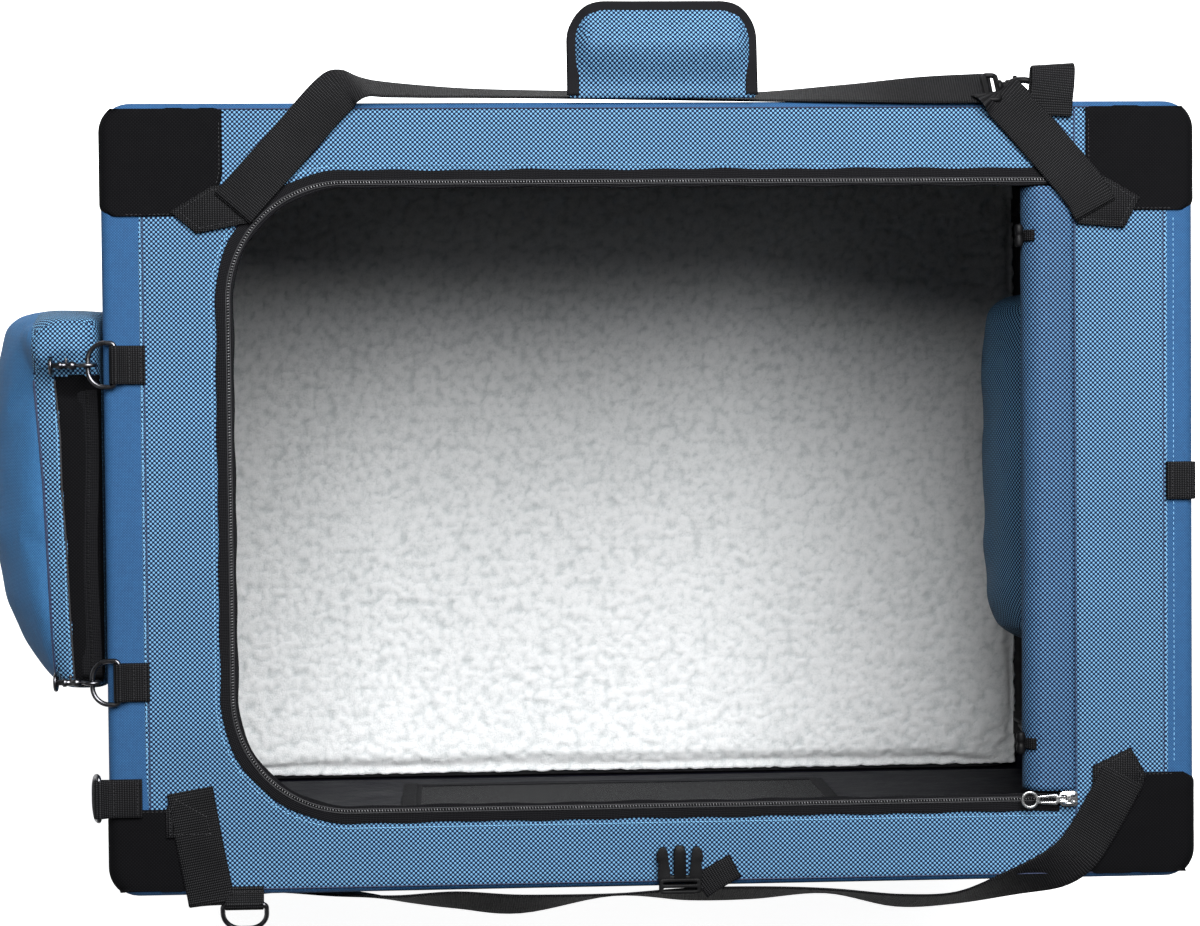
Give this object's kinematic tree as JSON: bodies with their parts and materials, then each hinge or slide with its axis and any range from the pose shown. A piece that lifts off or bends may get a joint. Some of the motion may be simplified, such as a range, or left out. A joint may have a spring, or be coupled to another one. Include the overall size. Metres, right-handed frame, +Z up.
{
  "type": "soft folding dog crate",
  "caption": "Soft-sided folding pet crate: fabric over a folding tube frame, zipped top door rolled open, fleece mat, carrying straps and a clip-on bag.",
  "frame": {"origin": "centre of the base's rest face", "axes": "+X along the crate towards the inner pouch, +Y towards the carrying wrap, +Z up"},
  "size_m": [0.8556, 0.6391, 0.5417],
  "materials": {
    "blue": "matte",
    "webbing": "matte",
    "door_fabric": "matte",
    "mesh": "matte",
    "fleece": "matte",
    "frame_steel": "satin",
    "zinc": "satin",
    "gunmetal": "polished",
    "plastic": "satin"
  },
  "bodies": {
    "base": {"base_cover": "blue", "base_frame": "frame_steel", "fleece_mat": "fleece", "front_wall": "blue", "back_wall": "blue", "back_window": "mesh", "base_bracket_left_front": "frame_steel", "base_bracket_left_back": "frame_steel", "base_bracket_right_front": "frame_steel", "base_bracket_right_back": "frame_steel"},
    "left_lower": {"left_lower_frame": "frame_steel", "left_wall_lower": "blue", "knee_rivet_left_front": "zinc", "knee_rivet_left_back": "zinc"},
    "left_upper": {"left_upper_frame": "frame_steel", "left_wall_upper": "blue"},
    "right_lower": {"right_lower_frame": "frame_steel", "right_wall_lower": "blue", "knee_rivet_right_front": "zinc", "knee_rivet_right_back": "zinc"},
    "right_upper": {"right_upper_frame": "frame_steel", "right_wall_upper": "blue", "inner_pouch": "blue"},
    "top": {"top_frame": "frame_steel", "top_cover": "blue", "top_zip": "webbing", "rolled_door": "door_fabric", "roll_tie_back": "webbing", "roll_tie_front": "webbing", "back_strap": "webbing", "back_strap_loop": "webbing", "front_strap": "webbing", "trigger_clip": "plastic", "bag_tab_back": "webbing", "bag_tab_front": "webbing", "spare_tab": "webbing", "front_ring_tab": "webbing", "right_tab": "webbing", "top_bracket_left_front": "frame_steel", "top_bracket_left_back": "frame_steel", "top_bracket_right_front": "frame_steel", "top_bracket_right_back": "frame_steel", "corner_patch_left_front": "webbing", "corner_patch_left_back": "webbing", "corner_patch_right_front": "webbing", "corner_patch_right_back": "webbing"},
    "bag": {"storage_bag": "blue", "bag_ring_back": "gunmetal", "bag_ring_front": "gunmetal", "bag_hook_back": "gunmetal", "bag_hook_front": "gunmetal"},
    "front_door": {"front_door": "mesh"},
    "zip_slider": {"zip_slider": "zinc"},
    "zip_pull": {"zip_pull": "zinc"},
    "handle_wrap": {"handle_wrap": "blue"},
    "male_buckle": {"male_buckle": "plastic"},
    "spare_ring": {"spare_ring": "gunmetal"},
    "front_ring": {"front_ring": "gunmetal"}
  },
  "joints": [
    {"name": "fold", "type": "hinge", "parent": "base", "child": "left_lower", "pos_m": [-0.3679, 0, 0.04], "axis": [0, 1, 0], "range_deg": [0, 86], "deforming": ["front_wall", "back_wall", "back_window", "front_door", "inner_pouch"]},
    {"name": "left_knee", "type": "hinge", "parent": "left_lower", "child": "left_upper", "pos_m": [-0.377, 0, 0.27025], "axis": [0, 1, 0], "range_deg": [-172, 0]},
    {"name": "left_top_pivot", "type": "hinge", "parent": "left_upper", "child": "top", "pos_m": [-0.3679, 0, 0.5005], "axis": [0, 1, 0], "range_deg": [0, 86]},
    {"name": "right_base_pivot", "type": "hinge", "parent": "base", "child": "right_lower", "pos_m": [0.3679, 0, 0.04], "axis": [0, 1, 0], "range_deg": [-86, 0]},
    {"name": "right_knee", "type": "hinge", "parent": "right_lower", "child": "right_upper", "pos_m": [0.377, 0, 0.27025], "axis": [0, 1, 0], "range_deg": [0, 172]},
    {"name": "bag_hang", "type": "hinge", "parent": "top", "child": "bag", "pos_m": [-0.3705, 0, 0.5358], "axis": [0, 1, 0], "range_deg": [0, 60]},
    {"name": "door_swing", "type": "hinge", "parent": "base", "child": "front_door", "pos_m": [-0.18, -0.27, 0.249], "axis": [0, 0, 1], "range_deg": [-110, 0]},
    {"name": "zip_travel", "type": "slide", "parent": "top", "child": "zip_slider", "axis": [-1, 0, 0], "range_m": [0, 0.48]},
    {"name": "zip_pull_flip", "type": "hinge", "parent": "zip_slider", "child": "zip_pull", "pos_m": [0.2885, -0.21575, 0.5383], "axis": [0, 1, 0], "range_deg": [0, 165]},
    {"name": "wrap_fold", "type": "hinge", "parent": "top", "child": "handle_wrap", "pos_m": [0.007, 0.2793, 0.5325], "axis": [1, 0, 0], "range_deg": [0, 100]},
    {"name": "buckle_flip", "type": "hinge", "parent": "top", "child": "male_buckle", "pos_m": [0.0145, -0.2745, 0.5355], "axis": [1, 0, 0], "range_deg": [0, 110]},
    {"name": "spare_ring_swing", "type": "hinge", "parent": "top", "child": "spare_ring", "pos_m": [-0.3851, -0.204, 0.5371], "axis": [0, 1, 0], "range_deg": [0, 90]},
    {"name": "front_ring_swing", "type": "hinge", "parent": "top", "child": "front_ring", "pos_m": [-0.287, -0.2786, 0.5358], "axis": [1, 0, 0], "range_deg": [-80, 65]}
  ],
  "couplings": [
    {"joint": "left_knee", "follows": "fold", "ratio": -2},
    {"joint": "left_top_pivot", "follows": "fold", "ratio": 1},
    {"joint": "right_base_pivot", "follows": "fold", "ratio": -1},
    {"joint": "right_knee", "follows": "fold", "ratio": 2},
    {"joint": "bag_hang", "follows": "fold", "ratio": 0.68}
  ]
}
